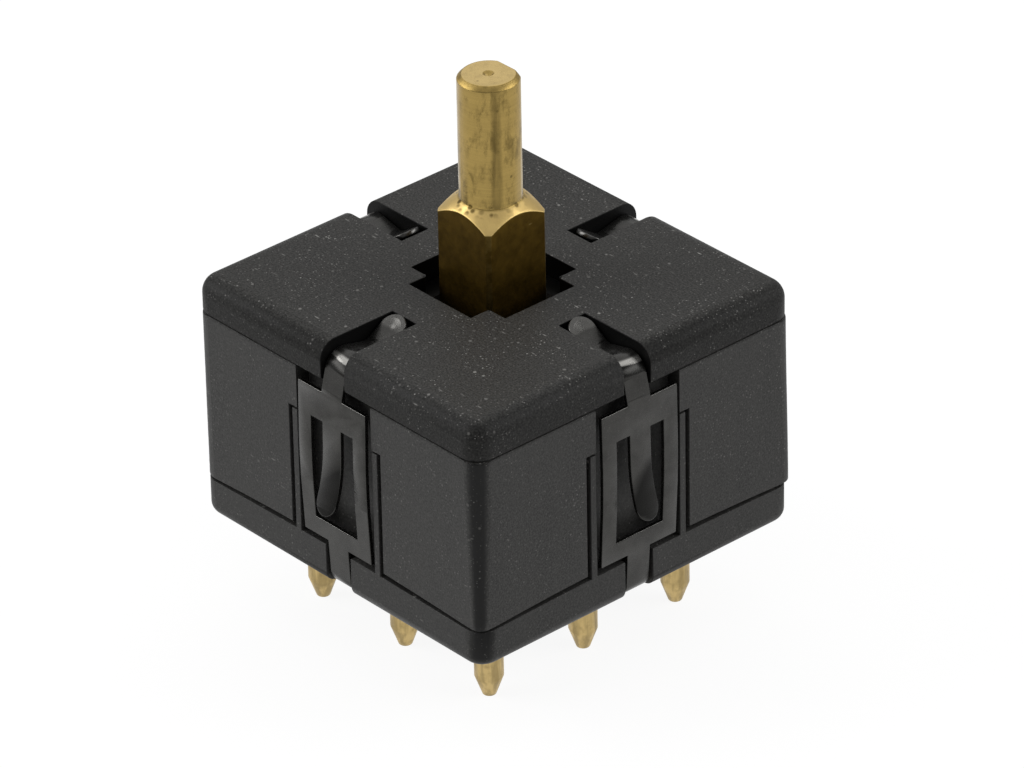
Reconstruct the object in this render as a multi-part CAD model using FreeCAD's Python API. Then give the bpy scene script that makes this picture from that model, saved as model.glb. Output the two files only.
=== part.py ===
import FreeCAD, Part
import math
import os

# A four-way seat switch: a brass stem that tilts in a square housing, which four spring clips hold together.
# All sizes are in millimetres. The origin is under the middle of the switch, level with the tips of its
# terminals, and +Z points up along the stem. The front face looks along -Y and the right face along +X.

# Housing outline
side = 25.4
corner_radius = 1.3
body_top_radius = 1.15
body_foot_radius = 0.72
base_height = 2.77
body_height = 11.4
cover_height = 2.45
cover_edge_radius = 1.2
base_edge_radius = 0.8
body_seam_chamfer = 0.07
cover_seam_chamfer = 0.14
seam_gap = 0.2
seam_gap_depth = 0.6

# The lower seam's edges arch upwards a little between the corners
body_arch_rise = 0.32
base_arch_rise = 0.17

# Terminals, three rows of three
terminal_pitch = 7.62
terminal_radius = 0.9
terminal_reach = 5.95
terminal_taper = 1.35
terminal_tip_radius = 0.42
terminal_collar_radius = 1.1
terminal_head_radius = 1.3
common_head_radius = 2.6
terminal_head_height = 0.8

# Walls of the moulded housing pieces
base_floor = 1.6
base_lip_wall = 1.0
base_lip_height = 1.1
cover_lip_wall = 1.0
cover_lip_height = 1.2
cover_plate = 1.5
lower_wall = 2.3
upper_wall = 1.8
seat_above_seam = 4.03
lip_gap = 0.1

# Gate in the cover
gate_side_gap = 0.37
gate_end_gap = 1.82
gate_corner_radius = 0.25

# Spring clips
clip_thickness = 0.28
frame_width = 6.03
frame_drop = 0.68
frame_lift = 0.35
frame_top_stand_off = 0.15
frame_bow_stand_off = 0.28
frame_bow_radius = 70.0
window_top_bar = 2.0
window_bottom_bar = 1.3
window_side_bar = 1.13
neck_width = 1.82
neck_bend_radius = 2.5
arm_bend_inset = 0.61
arm_bend_depth = 0.52
arm_bend_radius = 1.15
arm_dip_inset = 3.48
arm_dip_depth = 1.19
arm_dip_radius = 1.0
arm_tip_inset = 5.51
arm_tip_height = 0.13
tip_dimple_radius = 0.63
tip_dimple_depth = 0.06
lance_width = 1.65
lance_end_gap = 1.3
lance_bulge = 0.81
lance_slope_height = 1.96
lance_curve_radius = 10.0
leg_sink = 0.18
leg_reach = 3.5
leg_lift = 0.09
leg_bend_radius = 0.7

# Room for the clips
channel_side_gap = 0.14
channel_floor_gap = 0.03
channel_end_gap = 0.18
skirt_slot_gap = 0.5
pocket_depth = 1.0
pocket_side_gap = 0.32
leg_side_gap = 0.19
leg_slot_depth = 0.9
leg_slot_gap = 0.07
leg_end_gap = 0.3

# Ears of the base that stand beside each clip
ear_width = 0.5
ear_height = 8.36
ear_thickness = 1.0
ear_side_gap = 0.27
ear_top_gap = 0.13
ear_back_gap = 0.1

# Stem
stem_square = 4.76
stem_edge_chamfer = 0.27
stem_radius = 1.905
stem_rise = 13.75
stem_round_length = 8.15
stem_cone_drop = 1.2
stem_top_chamfer = 0.28
stem_flat = 1.45
centre_mark_radius = 0.35
centre_mark_depth = 0.2
stem_below_pivot = 1.25
finger_radius = 1.1
finger_gap = 0.12
ball_radius = 1.5
tilt_limit = 7.0

# Gimbal that carries the stem
pivot_depth = 3.6
ring_wall = 1.6
ring_room = 1.62
ring_height = 2.0
pin_radius = 0.6
pin_running_gap = 0.05
pin_tight_gap = 0.02
ring_clearance = 0.4
bearing_plate = 1.2
post_gap = 0.5
post_thickness = 2.5
post_width = 4.0
pin_end_gap = 0.2

# Centring spring and its washer
washer_rim = 0.3
washer_thickness = 0.5
washer_gap = 0.05
spring_thickness = 0.25
spring_hub_radius = 2.6
spring_hub_gap = 0.4
spring_leg_width = 1.5
spring_leg_run = 2.1
spring_toe = 0.6
spring_toe_rise = 0.25
spring_curve_radius = 0.5

# Contact carriage and the slide that it runs on
slide_thickness = 1.4
slide_side_gap = 0.2
slide_bar = 2.6
slide_end_gap = 0.23
carriage_width = 12.2
carriage_length = 13.8
carriage_height = 2.6
carriage_flange_height = 0.45
carriage_flange_overhang = 1.1
running_gap = 0.1
blade_thickness = 0.3
blade_width = 1.8
blade_lift = 0.25
blade_inner_foot = 1.9
blade_outer_foot = 5.6
blade_foot_run = 0.6
blade_toe = 0.45
blade_curve_radius = 0.3

# How far a cut runs past a face, and what counts as no length when edges are picked
past = 1.0
tiny = 0.001

# Levels worked out from the sizes above
half_side = side / 2
z_underside = terminal_reach
z_floor = z_underside + base_floor
z_bottom_seam = z_underside + base_height
z_top_seam = z_bottom_seam + body_height
z_top = z_top_seam + cover_height
z_seat = z_bottom_seam + seat_above_seam
z_plate_top = z_seat + bearing_plate
z_cover_ceiling = z_top - cover_plate
z_pivot = z_top - pivot_depth
z_stem_top = z_top + stem_rise
z_stem_shoulder = z_stem_top - stem_round_length
z_square_end = z_pivot - stem_below_pivot
z_head = z_floor + terminal_head_height
z_frame_top = z_top_seam - frame_drop
z_frame_bottom = z_bottom_seam + frame_lift
z_frame_bow = (z_frame_top + z_frame_bottom) / 2
z_window_top = z_frame_top - window_top_bar
z_window_bottom = z_frame_bottom + window_bottom_bar
z_dip = z_top - arm_dip_depth
z_leg = z_underside + leg_lift + clip_thickness / 2

# Distances of the middle of a clip's sheet from the stem's axis
frame_top_reach = half_side + frame_top_stand_off - clip_thickness / 2
frame_bow_reach = half_side + frame_bow_stand_off - clip_thickness / 2
leg_bend_reach = half_side - leg_sink - clip_thickness / 2

# Places worked out from the sizes above
lower_cavity = side - 2 * lower_wall
upper_cavity = side - 2 * upper_wall
pocket_half = frame_width / 2 + pocket_side_gap
ear_outer = pocket_half + ear_width
channel_half = neck_width / 2 + channel_side_gap
gate_arm_width = stem_square + 2 * gate_side_gap
gate_length = stem_square + 2 * gate_end_gap
ring_inner = stem_square + 2 * ring_room
ring_outer = ring_inner + 2 * ring_wall

# The carriage hangs just under the bearing plate, and its flange rides on the slide
z_carriage_top = z_seat - running_gap
z_carriage_bottom = z_carriage_top - carriage_height - carriage_flange_height
z_slide_top = z_carriage_top - carriage_flange_height - running_gap / 2
z_slide_bottom = z_slide_top - slide_thickness

# The stem's ball lies at the middle of the carriage, which it moves as far as the stem's tilt allows
z_ball = (z_carriage_top + z_carriage_bottom) / 2
ball_travel = (z_pivot - z_ball) * math.radians(tilt_limit)
slide_length = carriage_width + 2 * running_gap + 2 * slide_bar
slide_window = carriage_length + 2 * ball_travel + 2 * slide_end_gap

# The hole under the pivot leaves room for the finger at a tilt both ways
finger_swing = (z_pivot - z_seat) * math.tan(math.radians(tilt_limit))
bearing_hole_radius = finger_radius + math.hypot(finger_swing, finger_swing) + finger_gap
washer_radius = spring_hub_radius + washer_rim

# Angle about +Z that turns a piece drawn on the right face to each face
faces = {"front": -90, "right": 0, "back": 90, "left": 180}


def box(x0, x1, y0, y1, z0, z1):
    """A block between three pairs of limits."""
    return Part.makeBox(x1 - x0, y1 - y0, z1 - z0, FreeCAD.Vector(x0, y0, z0))


def block(width, depth, z0, z1):
    """A block centred on the stem's axis."""
    return box(-width / 2, width / 2, -depth / 2, depth / 2, z0, z1)


def cylinder(radius, z0, z1, x=0.0, y=0.0):
    """An upright cylinder."""
    return Part.makeCylinder(radius, z1 - z0, FreeCAD.Vector(x, y, z0))


def rod(radius, start, end, direction, level):
    """A cylinder along X or Y between two distances from the stem's axis."""
    return Part.makeCylinder(radius, end - start, direction * start + FreeCAD.Vector(0, 0, level), direction)


def upright_edges(shape):
    """The straight edges that run along +Z."""
    return [e for e in shape.Edges if e.BoundBox.XLength + e.BoundBox.YLength < tiny]


def level_edges(shape, level):
    """The edges that lie wholly at one height."""
    return [e for e in shape.Edges if abs(e.BoundBox.ZMin - level) + abs(e.BoundBox.ZMax - level) < tiny]


def distance_from_axis(edge):
    """How far an upright edge stands from the stem's axis."""
    spot = edge.Vertexes[0].Point
    return math.hypot(spot.x, spot.y)


def rounded_block(width, radius, z0, z1):
    """A square block with rounded upright corners."""
    shape = block(width, width, z0, z1)
    return shape.makeFillet(radius, upright_edges(shape))


def turned(shape, angle):
    """A copy turned about the stem's axis."""
    result = shape.copy()
    result.rotate(FreeCAD.Vector(0, 0, 0), FreeCAD.Vector(0, 0, 1), angle)
    return result


def on_every_face(shape):
    """One copy for each face of the housing."""
    return [turned(shape, angle) for angle in faces.values()]


def rounded_path(points, radii):
    """A wire in the XZ plane through the points, with each inner corner rounded."""
    corners = [FreeCAD.Vector(x, 0, z) for x, z in points]
    edges = []
    start = corners[0]
    for before, corner, after, radius in zip(corners, corners[1:], corners[2:], radii):
        back = (before - corner).normalize()
        ahead = (after - corner).normalize()
        half_angle = back.getAngle(ahead) / 2
        reach = radius / math.tan(half_angle)
        bow = radius / math.sin(half_angle) - radius
        first = corner + back * reach
        last = corner + ahead * reach
        middle = corner + (back + ahead).normalize() * bow
        edges.append(Part.LineSegment(start, first).toShape())
        edges.append(Part.Arc(first, middle, last).toShape())
        start = last
    edges.append(Part.LineSegment(start, corners[-1]).toShape())
    return Part.Wire(edges)


def strip(points, radii, width, thickness):
    """Sheet metal bent along a path in the XZ plane, with the path along its middle."""
    path = rounded_path(points, radii)
    start = FreeCAD.Vector(points[0][0], 0, points[0][1])
    ahead = (FreeCAD.Vector(points[1][0], 0, points[1][1]) - start).normalize()
    across = FreeCAD.Vector(0, width / 2, 0)
    through = FreeCAD.Vector(-ahead.z, 0, ahead.x) * (thickness / 2)
    upper = [start + across + through, start - across + through]
    lower = [start - across - through, start + across - through]
    section = Part.makePolygon(upper + lower + upper[:1])
    return path.makePipeShell([section], True, False)


def terminal_spots():
    """Terminal centres, row by row from the front left."""
    steps = (-terminal_pitch, 0.0, terminal_pitch)
    return [(x, y) for y in steps for x in steps]


def terminal(x, y):
    """A turned brass pin: a cone at its tip, a collar in the floor and a flat contact head above it."""
    head_radius = common_head_radius if x == 0 and y == 0 else terminal_head_radius
    tip = Part.makeCone(terminal_tip_radius, terminal_radius, terminal_taper, FreeCAD.Vector(x, y, 0))
    shank = cylinder(terminal_radius, terminal_taper, z_underside, x, y)
    collar = cylinder(terminal_collar_radius, z_underside, z_floor, x, y)
    head = cylinder(head_radius, z_floor, z_head, x, y)
    return tip.fuse([shank, collar, head]).removeSplitter()


def seam_arch(level, rise):
    """The low arch over a level seam edge of the right face, as deep as the seam's gap."""
    depth = half_side - seam_gap_depth
    half = half_side - corner_radius
    start = FreeCAD.Vector(depth, -half, level)
    crown = FreeCAD.Vector(depth, 0, level + rise)
    end = FreeCAD.Vector(depth, half, level)
    outline = Part.Wire([Part.Arc(start, crown, end).toShape(), Part.LineSegment(end, start).toShape()])
    return Part.Face(outline).extrude(FreeCAD.Vector(side, 0, 0))


def base_ear_pair():
    """The two strips that stand beside the clip on the right face."""
    z_ear_top = z_bottom_seam + ear_height
    near = box(half_side - ear_thickness, half_side, pocket_half, ear_outer, z_floor, z_ear_top)
    far = box(half_side - ear_thickness, half_side, -ear_outer, -pocket_half, z_floor, z_ear_top)
    return [near, far]


def base_leg_slot():
    """Room for a clip's lower end: a slot in the skirt and a channel in the underside."""
    half = neck_width / 2 + leg_side_gap
    z_ceiling = z_leg + clip_thickness / 2 + leg_slot_gap
    inner = leg_bend_reach - leg_reach - leg_end_gap
    skirt = box(half_side - leg_slot_depth, side, -half, half, 0, z_bottom_seam + seam_gap)
    channel = box(inner, side, -half, half, 0, z_ceiling)
    return skirt.fuse(channel)


def base_cover():
    """The lower cover: a floor for the terminals, a locating lip, two rails and the ears."""
    shape = rounded_block(side, corner_radius, z_underside, z_bottom_seam)
    shape = shape.makeFillet(base_edge_radius, level_edges(shape, z_underside))
    lip_width = lower_cavity - 2 * lip_gap
    well_width = lip_width - 2 * base_lip_wall
    rim_step = block(side + past, side + past, z_bottom_seam - seam_gap, z_bottom_seam + past)
    rim_width = side - 2 * seam_gap_depth
    rim_arches = on_every_face(seam_arch(z_bottom_seam - seam_gap, base_arch_rise))
    rim_step = rim_step.cut([block(rim_width, rim_width, 0, z_top)] + rim_arches)
    lip = block(lip_width, lip_width, z_floor, z_bottom_seam + base_lip_height)
    rails = block(lip_width, slide_length, z_floor, z_slide_bottom - running_gap / 2)
    well = block(well_width, well_width, z_floor, z_top)
    shape = shape.cut(rim_step).fuse([lip, rails]).cut(well)
    for ear in base_ear_pair():
        shape = shape.fuse(on_every_face(ear))
    hole_radius = terminal_collar_radius + pin_tight_gap
    holes = [cylinder(hole_radius, 0, z_floor, x, y) for x, y in terminal_spots()]
    return shape.cut(on_every_face(base_leg_slot()) + holes).removeSplitter()


def clip_pocket():
    """Room in the body's right face for the clip's frame and the ears beside it."""
    z_ear_room = z_bottom_seam + ear_height + ear_top_gap
    ear_half = ear_outer + ear_side_gap
    ear_depth = ear_thickness + ear_back_gap
    frame_room = box(half_side - pocket_depth, side, -pocket_half, pocket_half, 0, 2 * side)
    ear_room = box(half_side - ear_depth, side, -ear_half, ear_half, 0, z_ear_room)
    return frame_room.fuse(ear_room)


def case_body():
    """The middle of the housing: four walls, stepped inside to seat the bearing frame."""
    shape = block(side, side, z_bottom_seam, z_top_seam)
    shape = shape.makeFillet(body_foot_radius, body_top_radius, upright_edges(shape))
    shape = shape.makeChamfer(body_seam_chamfer, level_edges(shape, z_top_seam))
    lower = block(lower_cavity, lower_cavity, 0, z_seat)
    upper = block(upper_cavity, upper_cavity, z_seat, z_top)
    face_cut = clip_pocket().fuse(seam_arch(z_bottom_seam, body_arch_rise))
    return shape.cut([lower, upper] + on_every_face(face_cut)).removeSplitter()


def gate():
    """The plus-shaped opening that guides the stem."""
    z0 = z_top_seam
    z1 = z_top + past
    along_x = block(gate_length, gate_arm_width, z0, z1)
    along_y = block(gate_arm_width, gate_length, z0, z1)
    plus = along_x.fuse(along_y).removeSplitter()
    corner_distance = math.hypot(gate_arm_width, gate_arm_width) / 2
    inner_corners = [e for e in upright_edges(plus) if distance_from_axis(e) < corner_distance + tiny]
    return plus.makeFillet(gate_corner_radius, inner_corners)


def clip_channel():
    """Room in the cover for the clip's upper arm on the right face."""
    z_channel_floor = z_dip - clip_thickness / 2 - channel_floor_gap
    inner = half_side - arm_tip_inset - channel_end_gap
    neck_inner = half_side - arm_bend_inset - skirt_slot_gap
    arm_room = box(inner, side, -channel_half, channel_half, z_channel_floor, 2 * side)
    neck_room = box(neck_inner, side, -channel_half, channel_half, 0, 2 * side)
    return arm_room.fuse(neck_room)


def top_cover():
    """The upper cover: rounded over its top edge, with the gate and a channel for each clip."""
    shape = rounded_block(side, corner_radius, z_top_seam, z_top)
    shape = shape.makeFillet(cover_edge_radius, level_edges(shape, z_top))
    shape = shape.makeChamfer(cover_seam_chamfer, level_edges(shape, z_top_seam))
    lip_width = upper_cavity - 2 * lip_gap
    lip = block(lip_width, lip_width, z_top_seam - cover_lip_height, z_top_seam)
    lip_room = block(lip_width - 2 * cover_lip_wall, lip_width - 2 * cover_lip_wall, 0, z_top_seam)
    recess_width = ring_outer + 2 * ring_clearance
    recess = block(recess_width, recess_width, 0, z_cover_ceiling)
    cuts = [gate(), recess] + on_every_face(clip_channel())
    return shape.fuse(lip.cut(lip_room)).cut(cuts).removeSplitter()


def clip_sheet():
    """The bent sheet of a clip, as wide as its frame all the way from the leg's end to the arm's tip."""
    path = [
        (leg_bend_reach - leg_reach, z_leg),
        (leg_bend_reach, z_leg),
        (frame_bow_reach, z_frame_bow),
        (frame_top_reach, z_frame_top),
        (half_side - arm_bend_inset, z_top - arm_bend_depth),
        (half_side - arm_dip_inset, z_dip),
        (half_side - arm_tip_inset, z_top + arm_tip_height),
    ]
    radii = [leg_bend_radius, frame_bow_radius, neck_bend_radius, arm_bend_radius, arm_dip_radius]
    return strip(path, radii, frame_width, clip_thickness)


def clip_outline():
    """What the sheet is cut to: a wide frame, and narrow strips for the leg and the arm."""
    frame_half = frame_width / 2
    neck_half = neck_width / 2
    frame = box(half_side - past, side, -frame_half, frame_half, z_frame_bottom, z_frame_top)
    return frame.fuse(box(0, side, -neck_half, neck_half, 0, 2 * side))


def arm_end_cut():
    """What rounds the arm's end and sinks the dimple in it, tilted to match the arm's slope."""
    half = neck_width / 2
    corners = box(-past, half, -neck_width, neck_width, -past, past).cut(cylinder(half, -past, past, half))
    ball_radius = (tip_dimple_radius ** 2 + tip_dimple_depth ** 2) / (2 * tip_dimple_depth)
    z_dimple_ball = clip_thickness / 2 - tip_dimple_depth + ball_radius
    cut = corners.fuse(Part.makeSphere(ball_radius, FreeCAD.Vector(half, 0, z_dimple_ball)))
    slope = math.atan2(arm_dip_depth + arm_tip_height, arm_tip_inset - arm_dip_inset)
    cut.rotate(FreeCAD.Vector(0, 0, 0), FreeCAD.Vector(0, 1, 0), math.degrees(slope))
    cut.translate(FreeCAD.Vector(half_side - arm_tip_inset, 0, z_top + arm_tip_height))
    return cut


def frame_line(level):
    """How far out the straight upper part of the frame would lie at a height."""
    share = (z_frame_top - level) / (z_frame_top - z_frame_bow)
    return frame_top_reach + (frame_bow_reach - frame_top_reach) * share


def clip_lance():
    """The sprung tongue in the window, which leans outwards to its round free end."""
    half = lance_width / 2
    z_root = z_window_top + window_top_bar / 2
    z_end = z_window_bottom + lance_end_gap
    z_bend = z_end + lance_slope_height
    z_past_end = z_end - clip_thickness
    bulge_past_end = lance_bulge * (z_bend - z_past_end) / lance_slope_height
    bend = frame_line(z_bend)
    path = [(frame_line(z_root), z_root), (bend, z_bend), (bend + bulge_past_end, z_past_end)]
    blade = strip(path, [lance_curve_radius], lance_width, clip_thickness)
    outline = box(0, side, -half, half, z_end + half, z_frame_top)
    round_end = Part.makeCylinder(half, side, FreeCAD.Vector(0, 0, z_end + half), FreeCAD.Vector(1, 0, 0))
    return blade.common(outline.fuse(round_end))


def spring_clip():
    """One clip, drawn on the right face."""
    window_half = frame_width / 2 - window_side_bar
    window = box(half_side - past, side, -window_half, window_half, z_window_bottom, z_window_top)
    sheet = clip_sheet().common(clip_outline()).cut([window, arm_end_cut()])
    return sheet.fuse(clip_lance()).removeSplitter()


def stem():
    """The turned and milled brass stem, with its finger and ball end inside the housing."""
    square = block(stem_square, stem_square, z_square_end, z_stem_shoulder)
    square = square.makeChamfer(stem_edge_chamfer, upright_edges(square))
    slope = (math.hypot(stem_square, stem_square) / 2 - stem_radius) / stem_cone_drop
    cone_height = z_stem_shoulder - z_square_end
    cone_foot = FreeCAD.Vector(0, 0, z_square_end)
    cone = Part.makeCone(stem_radius + slope * cone_height, stem_radius, cone_height, cone_foot)
    shaft = cylinder(stem_radius, z_stem_shoulder, z_stem_top)
    shaft = shaft.makeChamfer(stem_top_chamfer, level_edges(shaft, z_stem_top))
    shaft = shaft.cut(box(-side, side, stem_flat, side, z_stem_shoulder, z_stem_top))
    mark_tip = FreeCAD.Vector(0, 0, z_stem_top - centre_mark_depth)
    shaft = shaft.cut(Part.makeCone(0, centre_mark_radius, centre_mark_depth, mark_tip))
    finger = cylinder(finger_radius, z_ball, z_square_end)
    ball = Part.makeSphere(ball_radius, FreeCAD.Vector(0, 0, z_ball))
    pin_hole = rod(pin_radius + pin_tight_gap, -stem_square, stem_square, FreeCAD.Vector(0, 1, 0), z_pivot)
    return square.common(cone).fuse([shaft, finger, ball]).cut(pin_hole).removeSplitter()


def stem_pin():
    """The cross pin on which the stem tilts left and right in the ring."""
    half = ring_outer / 2 - pin_end_gap
    return rod(pin_radius, -half, half, FreeCAD.Vector(0, 1, 0), z_pivot)


def gimbal_ring():
    """The ring between the stem's pin and the two pins of the bearing frame."""
    z0 = z_pivot - ring_height / 2
    z1 = z_pivot + ring_height / 2
    ring = rounded_block(ring_outer, corner_radius, z0, z1)
    opening = block(ring_inner, ring_inner, z0, z1)
    running_holes = rod(pin_radius + pin_running_gap, -side, side, FreeCAD.Vector(0, 1, 0), z_pivot)
    tight_holes = rod(pin_radius + pin_tight_gap, -side, side, FreeCAD.Vector(1, 0, 0), z_pivot)
    return ring.cut([opening, running_holes, tight_holes])


def ring_pin(direction):
    """One of the two pins on which the ring tilts forwards and back."""
    start = ring_inner / 2 + pin_end_gap
    end = ring_outer / 2 + post_gap + post_thickness - pin_end_gap
    return rod(pin_radius, start, end, direction, z_pivot)


def bearing_frame():
    """The moulded plate seated in the body, with a post for each of the ring's pins."""
    plate_width = upper_cavity - 2 * lip_gap
    plate = block(plate_width, plate_width, z_seat, z_plate_top)
    inner = ring_outer / 2 + post_gap
    post = box(inner, inner + post_thickness, -post_width / 2, post_width / 2, z_seat, z_top_seam)
    posts = [post, turned(post, faces["left"])]
    pin_holes = rod(pin_radius + pin_running_gap, -side, side, FreeCAD.Vector(1, 0, 0), z_pivot)
    finger_hole = cylinder(bearing_hole_radius, z_seat, z_plate_top)
    return plate.fuse(posts).cut([pin_holes, finger_hole]).removeSplitter()


def centring_washer():
    """The washer under the stem's square, which the spring presses flat."""
    z1 = z_square_end
    z0 = z1 - washer_thickness
    return cylinder(washer_radius, z0, z1).cut(cylinder(finger_radius + washer_gap, z0, z1))


def return_spring():
    """The stamped star spring that stands the stem upright: a hub and four legs that press on the plate."""
    z_hub = z_square_end - washer_thickness - spring_thickness / 2
    z_foot = z_plate_top + spring_thickness / 2
    foot = spring_hub_radius + spring_leg_run
    hub_hole = finger_radius + spring_hub_gap
    path = [
        (hub_hole, z_hub),
        (spring_hub_radius, z_hub),
        (foot, z_foot),
        (foot + spring_toe, z_foot + spring_toe_rise),
    ]
    leg = strip(path, [spring_curve_radius] * 2, spring_leg_width, spring_thickness)
    z0 = z_hub - spring_thickness / 2
    z1 = z_hub + spring_thickness / 2
    hub = cylinder(spring_hub_radius, z0, z1)
    return hub.fuse(on_every_face(leg)).cut(cylinder(hub_hole, z0, z1)).removeSplitter()


def cross_slide():
    """The frame that moves forwards and back on the base's rails."""
    width = lower_cavity - 2 * slide_side_gap
    frame = block(width, slide_length, z_slide_bottom, z_slide_top)
    return frame.cut(block(slide_window, carriage_width + 2 * running_gap, z_slide_bottom, z_slide_top))


def contact_carriage():
    """The block that the stem's ball drives, which slides left and right in the cross slide."""
    z_flange = z_carriage_top - carriage_flange_height
    body = block(carriage_length, carriage_width, z_carriage_bottom, z_flange)
    flange = block(carriage_length, carriage_width + 2 * carriage_flange_overhang, z_flange, z_carriage_top)
    bore = cylinder(ball_radius + running_gap, z_carriage_bottom, z_carriage_top)
    return body.fuse(flange).cut(bore).removeSplitter()


def contact_blade():
    """A sprung copper contact under the carriage, drawn on the right-hand side."""
    z_back = z_carriage_bottom - blade_thickness / 2
    z_foot = z_head + blade_lift
    path = [
        (blade_inner_foot - blade_toe, z_foot + blade_toe),
        (blade_inner_foot, z_foot),
        (blade_inner_foot + blade_foot_run, z_back),
        (blade_outer_foot - blade_foot_run, z_back),
        (blade_outer_foot, z_foot),
        (blade_outer_foot + blade_toe, z_foot + blade_toe),
    ]
    return strip(path, [blade_curve_radius] * 4, blade_width, blade_thickness)


def all_nodes():
    """Every piece by its name."""
    right = FreeCAD.Vector(1, 0, 0)
    nodes = {
        "top_cover": top_cover(),
        "case_body": case_body(),
        "base_cover": base_cover(),
        "bearing_frame": bearing_frame(),
        "stem": stem(),
        "stem_pin": stem_pin(),
        "centring_washer": centring_washer(),
        "gimbal_ring": gimbal_ring(),
        "ring_pin_right": ring_pin(right),
        "ring_pin_left": ring_pin(right * -1),
        "return_spring": return_spring(),
        "cross_slide": cross_slide(),
        "contact_carriage": contact_carriage(),
    }
    clip = spring_clip()
    blade = contact_blade()
    for face, angle in faces.items():
        nodes["clip_" + face] = turned(clip, angle)
        nodes["contact_" + face] = turned(blade, angle)
    for number, (x, y) in enumerate(terminal_spots(), start=1):
        nodes["terminal_" + str(number)] = terminal(x, y)
    return nodes


os.makedirs("parts", exist_ok=True)
for name, shape in all_nodes().items():
    shape.exportStep("parts/" + name + ".step")
    print(name, shape.isValid(), len(shape.Solids), round(shape.Volume, 3))
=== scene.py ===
import math

import bpy
from mathutils import Matrix, Vector
from mathutils.bvhtree import BVHTree


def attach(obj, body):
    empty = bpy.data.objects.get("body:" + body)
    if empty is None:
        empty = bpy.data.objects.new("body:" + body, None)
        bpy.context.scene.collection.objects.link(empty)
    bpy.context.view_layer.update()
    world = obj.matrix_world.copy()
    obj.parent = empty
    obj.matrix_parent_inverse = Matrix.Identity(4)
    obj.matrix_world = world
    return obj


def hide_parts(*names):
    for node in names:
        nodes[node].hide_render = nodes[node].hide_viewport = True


# A four-way seat switch with a brass stem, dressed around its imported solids.
# All lengths are in metres. +Z points up the stem, the front face looks along -Y
# and the right face along +X.

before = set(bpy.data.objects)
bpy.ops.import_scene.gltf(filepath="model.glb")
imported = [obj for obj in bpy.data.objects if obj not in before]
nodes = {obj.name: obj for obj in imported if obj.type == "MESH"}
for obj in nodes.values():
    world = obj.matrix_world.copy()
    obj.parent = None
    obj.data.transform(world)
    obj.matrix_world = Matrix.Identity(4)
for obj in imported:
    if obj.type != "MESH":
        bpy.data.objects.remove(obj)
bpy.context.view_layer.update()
scene = bpy.context.scene

MM = 0.001
faces = ("front", "right", "back", "left")
terminal_count = 9

# Camera of the photograph, worked back from the housing's edges
camera_azimuth = math.radians(48.543)
camera_elevation = math.radians(30.714)
camera_roll = math.radians(-1.099)
camera_place = Vector((279.35, -245.39, 235.98)) * MM
camera_lens = 252.75
sensor_width = 36.0

# Softboxes: name, place, width, height and watts, and the spot on the switch they point at
softboxes = (
    ("overhead_softbox", (-0.2, 0.18, 0.52), 1.0, 1.0, 2.5),
    ("front_softbox", (0.23, -0.2, 0.52), 0.25, 0.25, 0.19),
    ("left_softbox", (-0.42, -0.42, 0.32), 0.5, 0.32, 2.9),
    ("right_softbox", (0.42, 0.42, 0.32), 0.5, 0.32, 2.3),
)
lamp_aim = Vector((0.0, 0.0, 0.02))
studio_light = 0.3

# The floor, and how brightly and how far its own glow covers it for the camera
floor_side = 3.0
floor_dark = (0.70, 0.70, 0.70, 1.0)
floor_light = (0.73, 0.73, 0.73, 1.0)
floor_glow = 1.06
glow_share = 0.86

# Widths of the softened edges
moulded_edge = 0.06 * MM
sheet_edge = 0.045 * MM
turned_edge = 0.05 * MM

# Cleaning and softening a CAD mesh: corners this close are merged, faces that meet this
# flatly are joined, and edges sharper than this are softened
merge_distance = 0.002 * MM
flat_angle = math.radians(0.6)
sharp_angle = math.radians(35.0)
soft_segments = 2

# How far off the solid a softened corner may stand
stray_limit = 0.05 * MM

# The case's upright corners, whose radius grows from foot to top, and the blunter one at
# the left
half_side = 12.7 * MM
case_top = 20.12 * MM
seam_depth = 0.2 * MM
corner_top_radius = 1.15 * MM
blunt_radius = 1.25 * MM

# Half the width and the inner end of the clip channels, how far the gate reaches from the
# stem's axis, and how softly the painted shade inside them begins
channel_half = 1.06 * MM
channel_end = 7.0 * MM
channel_fade = 0.03 * MM
gate_reach = 4.25 * MM
gate_fade = 0.05 * MM

# The tongue that bows out of a clip starts below its root
tongue_root = 19.0 * MM
tongue_fade = 0.5 * MM

# Where a clip is painted: over the bend outside this distance, with painted shade and a
# painted highlight, and lighter inside this one and above this height at the tip
bend_inner = 11.6 * MM
bend_fade = 0.2 * MM
tip_outer = 8.5 * MM
tip_fade = 0.15 * MM
tip_foot = 22.2 * MM
tip_foot_fade = 0.1 * MM

# The height at which the stem's round end meets its square shank, and the pits around it
stem_shoulder = 28.17 * MM
shoulder_fade = 0.1 * MM
pitted_reach = 0.4 * MM
pitted_core = 0.2 * MM

# Where the painted dark reflection down the round end faces, nearly towards the camera
reflection_across, reflection_along = 0.844, -0.538

# Grey levels of the mouldings and the clips
# Cover levels, sides then top: the lighter top levels are painted light, the darker side levels
# painted shade
cover_shaded_sides = (0.006, 0.008)
cover_lit_top = (0.015, 0.019)
cover_peaks = (0.032, 0.062)
# Painted shade: the near black of the gate's walls and the clip channels
cover_recess_shade = 0.002
cover_dust = 0.25
case_level = 0.025
base_level = 0.022
case_dust = 0.24
clip_level = 0.048
# Painted highlight along the clip's bend
clip_crest_highlight = 0.36
clip_tip = 0.09

# Brass tones, and the tones of what lies inside
turned_brass = (0.37, 0.26, 0.083, 1.0)
# Darker brass, for the square shank and the pits
dark_brass = (0.10, 0.06, 0.010, 1.0)
# Painted light on the stem's cone and top face
painted_light_brass = (0.64, 0.47, 0.19, 1.0)
pin_brass = (0.55, 0.41, 0.18, 1.0)
inner_black = (0.022, 0.022, 0.021, 1.0)
carriage_grey = (0.08, 0.08, 0.08, 1.0)
contact_red = (0.62, 0.36, 0.22, 1.0)
steel_grey = (0.5, 0.5, 0.5, 1.0)

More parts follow.
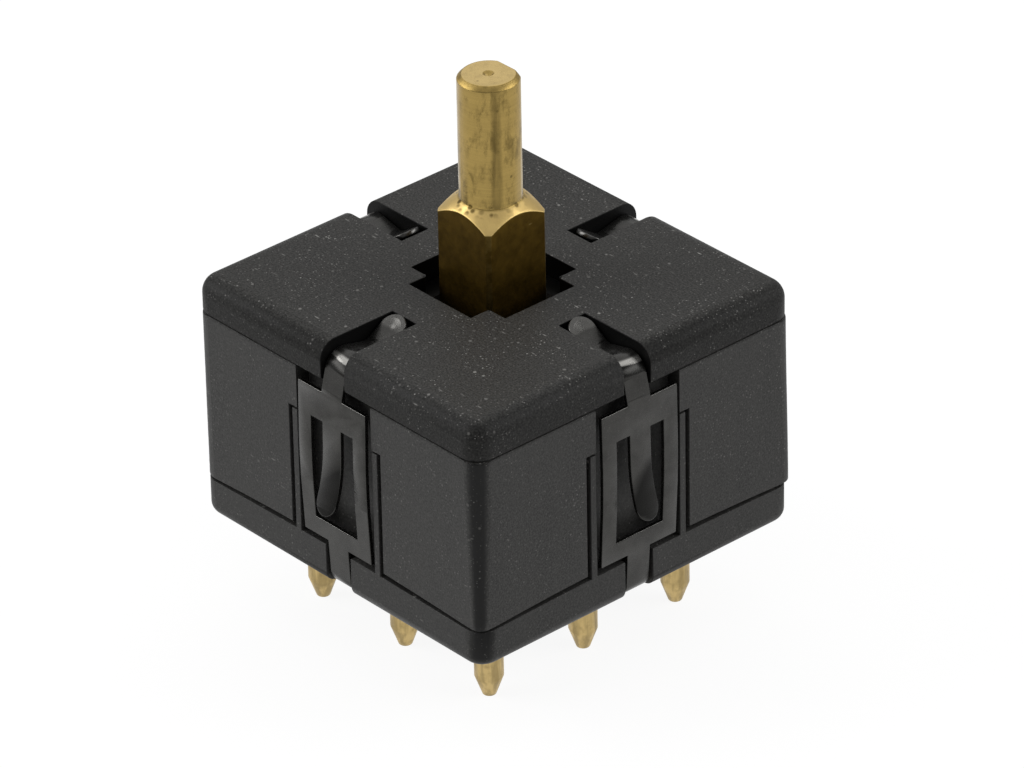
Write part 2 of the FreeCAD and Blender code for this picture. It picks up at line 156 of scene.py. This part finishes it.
# Dust: how far apart its marks lie and their radius, in millimetres, and the share of the
# places that hold one
coarse_dots = (0.27, 0.065, 0.3)
fine_dots = (0.16, 0.045, 0.3)
crumbs = (0.7, 0.13, 0.2)
hairs = (0.5, 0.06, 0.22)

# How each layer of dust hairs is stretched, turned and shifted
hair_layers = (
    ((0.25, 1.0, 1.0), 0.9, 0.004),
    ((0.22, 1.0, 1.0), -0.4, 0.007),
    ((0.3, 1.0, 1.0), 2.0, 0.011),
)


def deselect_all():
    bpy.ops.object.select_all(action="DESELECT")


def pick(piece):
    """Only this piece is selected and active."""
    deselect_all()
    piece.select_set(True)
    bpy.context.view_layer.objects.active = piece


def add_camera():
    """The photograph's camera: place, direction and roll."""
    turn, rise = camera_azimuth, camera_elevation
    level = Vector((math.cos(turn), math.sin(turn), 0.0))
    back = Vector((math.sin(turn) * math.cos(rise), -math.cos(turn) * math.cos(rise), math.sin(rise)))
    upright = back.cross(level)
    right = level * math.cos(camera_roll) + upright * math.sin(camera_roll)
    up = upright * math.cos(camera_roll) - level * math.sin(camera_roll)
    data = bpy.data.cameras.new("photo_camera")
    data.lens = camera_lens
    data.sensor_width = sensor_width
    data.clip_start = 0.01
    data.clip_end = 10.0
    camera = bpy.data.objects.new("photo_camera", data)
    camera.matrix_world = Matrix((
        (right.x, up.x, back.x, camera_place.x),
        (right.y, up.y, back.y, camera_place.y),
        (right.z, up.z, back.z, camera_place.z),
        (0.0, 0.0, 0.0, 1.0),
    ))
    scene.collection.objects.link(camera)
    scene.camera = camera


def add_softbox(name, place, width, height, watts):
    """A soft rectangular lamp that points at the switch."""
    data = bpy.data.lights.new(name, "AREA")
    data.shape = "RECTANGLE"
    data.size = width
    data.size_y = height
    data.energy = watts
    lamp = bpy.data.objects.new(name, data)
    lamp.location = place
    lamp.rotation_mode = "QUATERNION"
    lamp.rotation_quaternion = (lamp_aim - Vector(place)).to_track_quat("-Z", "Y")
    scene.collection.objects.link(lamp)


class Paint:
    """A material's node tree, with short calls for the nodes that the finishes share."""

    def __init__(self, name):
        self.material = bpy.data.materials.new(name)
        self.material.use_nodes = True
        self.tree = self.material.node_tree
        self.shader = self.tree.nodes["Principled BSDF"]
        self.coordinates = self.tree.nodes.new("ShaderNodeTexCoord")

    def node(self, kind, **settings):
        made = self.tree.nodes.new(kind)
        for key, value in settings.items():
            setattr(made, key, value)
        return made

    def join(self, source, target):
        self.tree.links.new(source, target)

    def feed(self, value, target):
        """Links a socket, or sets a plain number or colour."""
        if isinstance(value, bpy.types.NodeSocket):
            self.join(value, target)
        else:
            target.default_value = value

    def place(self, scale=(1.0, 1.0, 1.0), turn=(0.0, 0.0, 0.0), shift=(0.0, 0.0, 0.0)):
        """Object coordinates, stretched, turned and shifted."""
        mapping = self.node("ShaderNodeMapping")
        mapping.inputs["Scale"].default_value = scale
        mapping.inputs["Rotation"].default_value = turn
        mapping.inputs["Location"].default_value = shift
        self.join(self.coordinates.outputs["Object"], mapping.inputs["Vector"])
        return mapping.outputs["Vector"]

    def axes(self, kind="Object"):
        """The three parts of the place on the piece, or of the surface's direction."""
        split = self.node("ShaderNodeSeparateXYZ")
        self.join(self.coordinates.outputs[kind], split.inputs["Vector"])
        return split.outputs["X"], split.outputs["Y"], split.outputs["Z"]

    def upward(self):
        """How far the surface looks up: 1 on a level top, 0 on a wall."""
        return self.axes("Normal")[2]

    def slantwise(self):
        """How far a wall looks past two faces: 0 on either, 0.5 halfway round their corner."""
        across, along = self.axes("Normal")[:2]
        return self.unsigned(self.times(across, along))

    def noise(self, size, detail=2.0, roughness=0.5, distortion=0.0, vector=None, **where):
        """Noise whose features are about this size, in millimetres."""
        made = self.node("ShaderNodeTexNoise")
        made.inputs["Scale"].default_value = 1.0 / (size * MM)
        made.inputs["Detail"].default_value = detail
        made.inputs["Roughness"].default_value = roughness
        made.inputs["Distortion"].default_value = distortion
        self.join(self.place(**where) if vector is None else vector, made.inputs["Vector"])
        return made.outputs["Fac"]

    def specks(self, spacing, radius, share, **where):
        """Soft-edged specks of varied strength, sized in millimetres.

        The cells are this far apart, and this share of them holds a speck.
        """
        made = self.node("ShaderNodeTexVoronoi")
        made.inputs["Scale"].default_value = 1.0 / (spacing * MM)
        self.join(self.place(**where), made.inputs["Vector"])
        split = self.node("ShaderNodeSeparateColor")
        self.join(made.outputs["Color"], split.inputs["Color"])
        held = self.maths("LESS_THAN", split.outputs["Red"], share)
        strength = self.between(split.outputs["Green"], 0.0, 1.0, start=0.25)
        spot = self.between(made.outputs["Distance"], radius / spacing, 0.5 * radius / spacing)
        return self.times(spot, self.times(held, strength))

    def between(self, value, low, high, start=0.0, end=1.0):
        """Maps low..high to start..end, and holds it there outside."""
        made = self.node("ShaderNodeMapRange", clamp=True)
        self.join(value, made.inputs["Value"])
        made.inputs["From Min"].default_value = low
        made.inputs["From Max"].default_value = high
        made.inputs["To Min"].default_value = start
        made.inputs["To Max"].default_value = end
        return made.outputs["Result"]

    def maths(self, operation, first, second=0.0):
        made = self.node("ShaderNodeMath", operation=operation)
        self.feed(first, made.inputs[0])
        self.feed(second, made.inputs[1])
        return made.outputs["Value"]

    def plus(self, first, second):
        return self.maths("ADD", first, second)

    def minus(self, first, second):
        return self.maths("SUBTRACT", first, second)

    def times(self, first, second):
        return self.maths("MULTIPLY", first, second)

    def larger(self, first, second):
        return self.maths("MAXIMUM", first, second)

    def smaller(self, first, second):
        return self.maths("MINIMUM", first, second)

    def unsigned(self, value):
        return self.maths("ABSOLUTE", value)

    def mix(self, factor, first, second):
        """Mixes two colours. The node's sockets share their names, so they go by number."""
        made = self.node("ShaderNodeMix", data_type="RGBA")
        for number, value in ((0, factor), (6, first), (7, second)):
            self.feed(value, made.inputs[number])
        return made.outputs[2]

    def greys(self, factor, first, second):
        """Mixes two greys, given by their levels."""
        return self.mix(factor, grey(first), grey(second))

    def bump(self, height, depth, strength):
        """Bump of this depth, in millimetres."""
        made = self.node("ShaderNodeBump")
        made.inputs["Strength"].default_value = strength
        made.inputs["Distance"].default_value = depth * MM
        self.join(height, made.inputs["Height"])
        return made.outputs["Normal"]

    def dress(self, colour, roughness, relief, metallic=0.0, specular=0.5):
        """Joins the finish to the shader and gives back the material."""
        self.join(colour, self.shader.inputs["Base Color"])
        self.join(roughness, self.shader.inputs["Roughness"])
        self.join(relief, self.shader.inputs["Normal"])
        self.shader.inputs["Metallic"].default_value = metallic
        self.shader.inputs["Specular IOR Level"].default_value = specular
        return self.material


def grey(level):
    """A slightly warm grey."""
    return (level, level * 0.98, level * 0.93, 1.0)


def shade(colour, share):
    """The colour made darker or lighter by this share."""
    return [part * share for part in colour[:3]] + [1.0]


def fine_grain(paint):
    """The grain that the mouldings and the stem share."""
    return paint.noise(0.12, roughness=0.6)


def dust_mask(paint):
    """Dots and short hairs of dust in loose patches, most of them on surfaces that look up."""
    settled = paint.between(paint.upward(), 0.2, 0.95, start=0.45)
    patches = paint.between(paint.noise(2.8), 0.38, 0.62, start=0.2)
    dust = paint.larger(paint.specks(*coarse_dots), paint.specks(*fine_dots))
    for stretch, turn, shift in hair_layers:
        layer = paint.specks(*hairs, scale=stretch, turn=(0.0, 0.0, turn), shift=(shift, 0.0, 0.0))
        dust = paint.larger(dust, layer)
    dust = paint.larger(dust, paint.specks(*crumbs, shift=(0.003, 0.001, 0.002)))
    return paint.times(paint.times(dust, patches), settled)


def cover_finish():
    """Fine-grained charcoal moulding with dust: painted light on what looks up, painted shade in the
    recesses.
    """
    paint = Paint("cover_moulding")
    # Painted light: surfaces that look up get the lighter tone and the brighter grain peaks
    lit_top = paint.between(paint.upward(), 0.8, 0.98)
    cloud = paint.noise(5.0, detail=3.0)
    clouded = paint.between(cloud, 0.3, 0.7)
    shaded_side_tone = paint.greys(clouded, *cover_shaded_sides)
    lit_top_tone = paint.greys(clouded, *cover_lit_top)
    base = paint.mix(lit_top, shaded_side_tone, lit_top_tone)
    grain = fine_grain(paint)
    peaks = paint.greys(lit_top, *cover_peaks)
    grained = paint.mix(paint.between(grain, 0.35, 0.68, end=0.75), base, peaks)
    dust = dust_mask(paint)
    dusty = paint.mix(dust, grained, grey(cover_dust))
    # Painted shade: the gate's walls and the insides of the clip channels are painted near black
    colour = paint.mix(painted_recess_shade(paint), dusty, grey(cover_recess_shade))
    roughness = paint.between(cloud, 0.3, 0.7, 0.5, 0.58)
    relief = paint.plus(grain, paint.times(dust, 0.8))
    return paint.dress(colour, roughness, paint.bump(relief, 0.016, 0.7), specular=0.12)


def painted_recess_shade(paint):
    """The walls of the gate and the inside of the four clip channels: where painted shade goes."""
    x, y = [paint.unsigned(part) for part in paint.axes()[:2]]
    outer = paint.larger(x, y)
    beside = paint.between(paint.smaller(x, y), channel_half + channel_fade, channel_half)
    channel = paint.times(beside, paint.between(outer, channel_end - channel_fade, channel_end))
    wall = paint.between(paint.upward(), 0.6, 0.3)
    gate = paint.times(paint.between(outer, gate_reach + gate_fade, gate_reach), wall)
    return paint.larger(channel, gate)


def case_finish(name, level):
    """Satin charcoal moulding with faint upright flow streaks and painted shade round its corners."""
    paint = Paint(name)
    streaks = paint.noise(1.4, detail=4.0, roughness=0.55, scale=(1.0, 1.0, 0.06))
    cloud = paint.noise(6.0)
    mottle = paint.plus(paint.times(streaks, 0.6), paint.times(cloud, 0.4))
    base = paint.greys(paint.between(mottle, 0.35, 0.65), level * 0.5, level * 0.95)
    grain = fine_grain(paint)
    grained = paint.mix(paint.between(grain, 0.35, 0.68, end=0.7), base, grey(level * 2.0))
    # Painted shade: darker round the upright corners
    corner = paint.between(paint.slantwise(), 0.12, 0.4, end=0.95)
    shaded = paint.mix(corner, grained, grey(level * 0.1))
    colour = paint.mix(dust_mask(paint), shaded, grey(case_dust))
    roughness = paint.between(mottle, 0.35, 0.65, 0.42, 0.5)
    return paint.dress(colour, roughness, paint.bump(grain, 0.01, 0.7), specular=0.2)


def clip_finish():
    """Blackened spring steel, satin and finely speckled.

    It has painted shade on the tongue and round the bend, a painted highlight along the
    bend's crest, and is lighter at the tip.
    """
    paint = Paint("black_spring_steel")
    x, y, height = paint.axes()
    outer = paint.larger(paint.unsigned(x), paint.unsigned(y))
    up = paint.upward()
    speckle = paint.noise(0.12, detail=3.0, roughness=0.65)
    cloud = paint.noise(1.6, detail=3.0, roughness=0.6)
    base = paint.greys(paint.between(cloud, 0.35, 0.65), clip_level * 0.85, clip_level * 1.15)
    spotted = paint.mix(paint.between(speckle, 0.6, 0.72), base, grey(clip_level * 1.7))
    below_root = paint.between(height, tongue_root, tongue_root - tongue_fade)
    # Painted shade on the tongue below its root
    tongue = paint.times(below_root, paint.between(up, 0.05, 0.18))
    tongue_shaded = paint.mix(tongue, spotted, grey(clip_level * 0.25))
    bend = paint.between(outer, bend_inner, bend_inner + bend_fade)
    # Painted shade: the clip is darker round the bend
    rounded = paint.times(bend, paint.between(up, 0.2, 0.35))
    bend_shaded = paint.mix(rounded, tongue_shaded, grey(clip_level * 0.4))
    # Painted highlight along the crest of the bend
    crest = paint.times(paint.between(up, 0.74, 0.8), paint.between(up, 0.95, 0.9))
    crest_highlighted = paint.mix(paint.times(crest, bend), bend_shaded, grey(clip_crest_highlight))
    inwards = paint.between(outer, tip_outer, tip_outer - tip_fade)
    tip = paint.times(inwards, paint.between(height, tip_foot, tip_foot + tip_foot_fade))
    colour = paint.mix(paint.times(tip, 0.8), crest_highlighted, grey(clip_tip))
    roughness = paint.between(speckle, 0.3, 0.7, 0.24, 0.34)
    return paint.dress(colour, roughness, paint.bump(speckle, 0.005, 0.6), metallic=0.9)


def lathe_marks(paint):
    """Noise up the stem and outwards over its end, as a lathe tool leaves it."""
    x, y, z = paint.axes()
    outwards = paint.maths("SQRT", paint.plus(paint.times(x, x), paint.times(y, y)))
    turned = paint.node("ShaderNodeCombineXYZ")
    paint.join(outwards, turned.inputs["X"])
    paint.join(z, turned.inputs["Z"])
    return paint.noise(0.14, detail=3.0, roughness=0.7, vector=turned.outputs["Vector"])


def painted_dark_reflection(paint):
    """A broken painted dark reflection down the side of the round end that nearly faces the camera."""
    across, along = paint.axes("Normal")[:2]
    facing = paint.plus(paint.times(across, reflection_across), paint.times(along, reflection_along))
    streak_breaks = paint.noise(0.5, detail=3.0, roughness=0.6, scale=(1.0, 1.0, 0.2))
    broken = paint.between(streak_breaks, 0.3, 0.6, 0.4, 0.9)
    return paint.times(paint.between(facing, 0.975, 0.996), broken)


def round_end_tone(paint, marks, stains, below):
    """Turned brass: stained, with a painted dark reflection down one side and painted light on the
    cone and the top, spotted and pitted.
    """
    height = paint.axes()[2]
    up = paint.upward()
    tone = paint.mix(paint.between(marks, 0.3, 0.7), turned_brass, shade(turned_brass, 0.82))
    tone = paint.mix(paint.between(stains, 0.5, 0.68, end=0.8), tone, shade(turned_brass, 0.38))
    # Painted reflection: a dark streak down the side that nearly faces the camera
    tone = paint.mix(painted_dark_reflection(paint), tone, shade(turned_brass, 0.3))
    # Painted light: the cone and the top face are painted lighter
    cone = paint.times(paint.times(below, paint.between(up, 0.3, 0.5)), 0.7)
    lit_end_face = paint.times(paint.between(up, 0.9, 0.98), 0.6)
    tone = paint.mix(paint.larger(cone, lit_end_face), tone, painted_light_brass)
    spots = paint.specks(0.8, 0.12, 0.4)
    tone = paint.mix(paint.times(spots, 0.7), tone, shade(turned_brass, 0.25))
    pits = paint.specks(0.45, 0.22, 0.75)
    away = paint.unsigned(paint.minus(height, stem_shoulder))
    ringed = paint.between(away, pitted_reach, pitted_core)
    return paint.mix(paint.times(pits, ringed), tone, shade(dark_brass, 0.5))


def square_shank_tone(paint):
    """Dark brass: smeared, lightly scratched, and lighter at the corners, partly worn and partly
    painted highlight.
    """
    smears = paint.noise(0.7, detail=4.0, roughness=0.6, distortion=0.3)
    smeared = paint.between(smears, 0.35, 0.7)
    tone = paint.mix(smeared, dark_brass, shade(dark_brass, 1.7))
    scratches = paint.specks(1.1, 0.08, 0.35, scale=(0.4, 0.4, 1.0), turn=(0.5, 0.5, 0.0))
    tone = paint.mix(scratches, tone, shade(turned_brass, 0.8))
    # Wear and painted highlight: the corners are painted lighter
    corner = paint.between(paint.slantwise(), 0.2, 0.5)
    worn_and_lit = paint.times(corner, paint.between(smears, 0.35, 0.65, 0.1, 0.8))
    return paint.mix(worn_and_lit, tone, shade(turned_brass, 0.6))


def stem_finish():
    """Brass: bright and turned at the round end, dark on the square shank."""
    paint = Paint("stem_brass")
    height = paint.axes()[2]
    up = paint.upward()
    marks = lathe_marks(paint)
    stains = paint.noise(0.75, detail=6.0, roughness=0.68, distortion=0.3, scale=(1.0, 1.0, 0.5))
    below = paint.between(height, stem_shoulder, stem_shoulder - shoulder_fade)
    shank = paint.times(below, paint.between(paint.unsigned(up), 0.25, 0.1))
    round_end = round_end_tone(paint, marks, stains, below)
    colour = paint.mix(shank, round_end, square_shank_tone(paint))
    grain = fine_grain(paint)
    smooth = paint.times(paint.minus(1.0, shank), paint.between(stains, 0.4, 0.7, 0.2, 0.32))
    matt = paint.times(shank, paint.between(grain, 0.4, 0.7, 0.38, 0.5))
    slanted = paint.times(paint.between(up, 0.3, 0.5), paint.between(up, 0.97, 0.9))
    roughness = paint.plus(paint.times(slanted, 0.25), paint.plus(smooth, matt))
    relief = paint.plus(marks, paint.times(grain, 0.4))
    return paint.dress(colour, roughness, paint.bump(relief, 0.008, 0.6), metallic=1.0)


def terminal_finish():
    """Turned brass pins, dull and a little blotched, with upright bands."""
    paint = Paint("terminal_brass")
    bands = paint.noise(0.4, scale=(1.0, 1.0, 0.15))
    base = paint.mix(paint.between(bands, 0.4, 0.6), pin_brass, shade(pin_brass, 0.65))
    blotches = paint.noise(0.5, detail=4.0, roughness=0.6)
    colour = paint.mix(paint.between(blotches, 0.5, 0.75, end=0.6), base, shade(pin_brass, 0.5))
    roughness = paint.between(blotches, 0.3, 0.7, 0.38, 0.5)
    relief = paint.bump(paint.noise(0.1, roughness=0.6), 0.006, 0.5)
    return paint.dress(colour, roughness, relief, metallic=1.0)


def plain_finish(name, tone, metallic, roughness):
    """A plainer finish for what lies inside: slight mottling and grain."""
    paint = Paint(name)
    cloud = paint.noise(0.8, detail=3.0)
    colour = paint.mix(cloud, tone, shade(tone, 0.8))
    varied = paint.between(cloud, 0.3, 0.7, roughness - 0.05, roughness + 0.05)
    relief = paint.bump(paint.noise(0.08), 0.003, 0.5)
    return paint.dress(colour, varied, relief, metallic=metallic)


def cover_with(piece, material):
    piece.data.materials.clear()
    piece.data.materials.append(material)


def blunt_left_corner(piece):
    """Rounds the case's left upright corner, which is blunter at its foot than the other three.

    A corner's radius follows from where a point lies on it, except inside the seam at its
    top, where the radius is known.
    """
    new_centre = blunt_radius - half_side
    for vertex in piece.data.vertices:
        x, y, z = vertex.co
        inwards, along = max(x + half_side, 0.0), max(y + half_side, 0.0)
        radius = inwards + along + math.sqrt(2.0 * inwards * along)
        if z > case_top - seam_depth:
            radius = corner_top_radius
        centre = radius - half_side
        if radius < blunt_radius and x <= centre + merge_distance and y <= centre + merge_distance:
            angle = math.atan2(y - centre, x - centre)
            reach = math.hypot(x - centre, y - centre) + blunt_radius - radius
            vertex.co = (new_centre + reach * math.cos(angle), new_centre + reach * math.sin(angle), z)


def pull_in_strays(piece, solid):
    """Puts the few corners that softening throws off the solid back on its surface."""
    surface = BVHTree.FromPolygons([vertex.co for vertex in solid.data.vertices],
                                   [face.vertices for face in solid.data.polygons])
    for vertex in piece.data.vertices:
        nearest, *_, distance = surface.find_nearest(vertex.co)
        if distance > stray_limit:
            vertex.co = nearest


def soft_edged(node, name, body, material, edge, reshape=None, holed=False):
    """A merged copy of a CAD node with its sharp edges softened, which stands for the node.

    Broad faces with holes are split into triangles first, so that softening doesn't fold
    them over the holes.
    """
    piece = bpy.data.objects.new(name, nodes[node].data.copy())
    scene.collection.objects.link(piece)
    pick(piece)
    bpy.ops.object.mode_set(mode="EDIT")
    bpy.ops.mesh.select_all(action="SELECT")
    bpy.ops.mesh.remove_doubles(threshold=merge_distance)
    bpy.ops.mesh.dissolve_limited(angle_limit=flat_angle)
    if holed:
        bpy.ops.mesh.quads_convert_to_tris(quad_method="BEAUTY", ngon_method="BEAUTY")
    bpy.ops.object.mode_set(mode="OBJECT")
    if reshape is not None:
        reshape(piece)
    bevel = piece.modifiers.new("soft_edges", "BEVEL")
    bevel.width = edge
    bevel.segments = soft_segments
    bevel.limit_method = "ANGLE"
    bevel.angle_limit = sharp_angle
    bevel.use_clamp_overlap = False
    bevel.harden_normals = True
    bpy.ops.object.modifier_apply(modifier=bevel.name)
    if reshape is None:
        pull_in_strays(piece, nodes[node])
    cover_with(piece, material)
    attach(piece, body)
    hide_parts(node)


def add_floor():
    """A plain pale floor that shows white to the camera outside the shadow."""
    bpy.ops.mesh.primitive_grid_add(x_subdivisions=8, y_subdivisions=8, size=floor_side,
                                    location=(0.0, 0.0, 0.0))
    floor = bpy.context.active_object
    floor.name = "floor"
    paint = Paint("pale_floor")
    tone = paint.mix(paint.noise(40.0), floor_dark, floor_light)
    paint.join(tone, paint.shader.inputs["Base Color"])
    paint.shader.inputs["Roughness"].default_value = 0.9
    glow = paint.node("ShaderNodeEmission")
    glow.inputs["Strength"].default_value = floor_glow
    rays = paint.node("ShaderNodeLightPath")
    mirrored = paint.plus(rays.outputs["Is Glossy Ray"], rays.outputs["Is Transmission Ray"])
    direct = paint.larger(rays.outputs["Is Camera Ray"], mirrored)
    share = paint.node("ShaderNodeMixShader")
    paint.join(paint.times(paint.smaller(direct, 1.0), glow_share), share.inputs[0])
    paint.join(paint.shader.outputs["BSDF"], share.inputs[1])
    paint.join(glow.outputs["Emission"], share.inputs[2])
    paint.join(share.outputs["Shader"], paint.tree.nodes["Material Output"].inputs["Surface"])
    cover_with(floor, paint.material)


def add_world():
    """Even studio light from all round."""
    world = bpy.data.worlds.new("studio")
    world.use_nodes = True
    background = world.node_tree.nodes["Background"]
    background.inputs["Color"].default_value = (1.0, 1.0, 1.0, 1.0)
    background.inputs["Strength"].default_value = studio_light
    scene.world = world


deselect_all()
scene.view_settings.view_transform = "Standard"
add_camera()
add_world()
add_floor()
for softbox in softboxes:
    add_softbox(*softbox)

cover_paint = cover_finish()
case_paint = case_finish("case_moulding", case_level)
base_paint = case_finish("base_moulding", base_level)
clip_paint = clip_finish()
stem_paint = stem_finish()
terminal_paint = terminal_finish()

soft_edged("top_cover", "cover_shell", "housing", cover_paint, moulded_edge,
           holed=True)
soft_edged("case_body", "case_shell", "housing", case_paint, moulded_edge,
           reshape=blunt_left_corner, holed=True)
soft_edged("base_cover", "base_shell", "housing", base_paint, moulded_edge)
for face in faces:
    soft_edged("clip_" + face, "spring_clip_" + face, "housing", clip_paint, sheet_edge)
soft_edged("stem", "brass_stem", "stem", stem_paint, turned_edge)
for number in range(1, terminal_count + 1):
    soft_edged(f"terminal_{number}", f"terminal_pin_{number}", "housing",
               terminal_paint, turned_edge)

inner_paint = plain_finish("inner_moulding", inner_black, metallic=0.0, roughness=0.5)
carriage_paint = plain_finish("carriage_moulding", carriage_grey, metallic=0.0, roughness=0.5)
copper_paint = plain_finish("contact_copper", contact_red, metallic=1.0, roughness=0.3)
steel_paint = plain_finish("inner_steel", steel_grey, metallic=1.0, roughness=0.3)
inner_finishes = {
    "bearing_frame": inner_paint,
    "cross_slide": inner_paint,
    "gimbal_ring": inner_paint,
    "contact_carriage": carriage_paint,
    "stem_pin": steel_paint,
    "ring_pin_right": steel_paint,
    "ring_pin_left": steel_paint,
    "centring_washer": steel_paint,
    "return_spring": steel_paint,
}
for face in faces:
    inner_finishes["contact_" + face] = copper_paint
for node, finish in inner_finishes.items():
    cover_with(nodes[node], finish)
